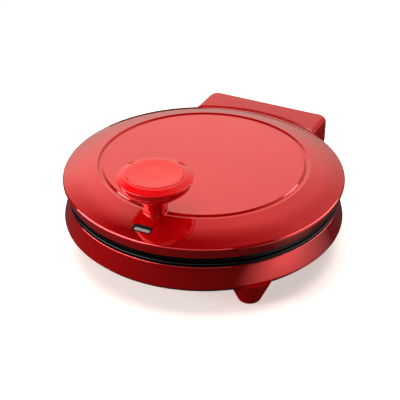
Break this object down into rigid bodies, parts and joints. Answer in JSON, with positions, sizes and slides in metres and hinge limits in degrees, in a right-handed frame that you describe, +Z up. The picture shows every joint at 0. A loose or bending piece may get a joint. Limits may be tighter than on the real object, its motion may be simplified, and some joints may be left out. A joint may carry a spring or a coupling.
{
  "type": "electric pizza maker",
  "caption": "Round countertop electric pizza maker with a flared base on feet, a rear-hinged domed lid, a mushroom knob and two dished heating plates.",
  "frame": {"origin": "centre of the bounding box on the table, under the middle of the appliance", "axes": "+Z up, +Y towards the rear hinge block, -Y towards the knob at the front, +X to the right seen from the front"},
  "size_m": [0.3368, 0.3694, 0.1487],
  "materials": {
    "red_gloss": "glossy moulded",
    "black_cover": "fine matt",
    "black_plastic": "matt",
    "plate_coating": "black non-stick coating",
    "steel": "zinc plated",
    "arm_steel": "stamped and plated",
    "bush_brass": "turned",
    "element_steel": "heat-darkened sheath",
    "reflector_aluminium": "bright rolled sheet",
    "pad_rubber": "moulded",
    "lens_clear": "pale translucent",
    "lamp_glass": "clear neon bulb",
    "thermostat_body": "moulded phenolic",
    "wire_insulation": "glass-braid sleeve"
  },
  "bodies": {
    "base": {"base_shell": "red_gloss", "hinge_tower": "red_gloss", "foot_front_left": "red_gloss", "foot_front_right": "red_gloss", "foot_rear_left": "red_gloss", "foot_rear_right": "red_gloss", "bottom_cover": "black_cover", "cord_gland": "black_plastic", "terminal_block": "black_plastic", "lower_plate": "plate_coating", "bottom_cover_screws": "steel", "tower_screws": "steel", "foot_screws": "steel", "lower_plate_screws": "steel", "lower_reflector_screws": "steel", "hinge_pin_left": "steel", "hinge_pin_right": "steel", "hinge_pin_clips": "steel", "lower_element_clips": "steel", "lower_element": "element_steel", "lower_reflector": "reflector_aluminium", "foot_pad_front_left": "pad_rubber", "foot_pad_front_right": "pad_rubber", "foot_pad_rear_left": "pad_rubber", "foot_pad_rear_right": "pad_rubber", "thermostat": "thermostat_body", "thermal_fuse": "thermostat_body", "base_wires": "wire_insulation", "base_harness": "wire_insulation"},
    "lid": {"lid_shell": "red_gloss", "hinge_hood": "red_gloss", "knob_stem": "red_gloss", "knob_head": "red_gloss", "knob_cap": "red_gloss", "knob_washer": "steel", "knob_screw": "steel", "window_bezel": "black_plastic", "window_lens": "lens_clear", "window_lamps": "lamp_glass", "lamp_holder": "black_plastic", "upper_plate": "plate_coating", "upper_plate_screws": "steel", "upper_element": "element_steel", "upper_element_clips": "steel", "upper_reflector": "reflector_aluminium", "upper_reflector_screws": "steel", "lid_wires": "wire_insulation", "lid_harness": "wire_insulation", "lid_connector": "black_plastic", "hinge_arm_left": "arm_steel", "hinge_arm_right": "arm_steel", "hinge_bush_left": "bush_brass", "hinge_bush_right": "bush_brass", "arm_screws": "steel", "hood_screws": "steel"}
  },
  "joints": [
    {"name": "lid_hinge", "type": "hinge", "parent": "base", "child": "lid", "pos_m": [0, 0.1717, 0.066], "axis": [-1, 0, 0], "range_deg": [0, 100]}
  ]
}
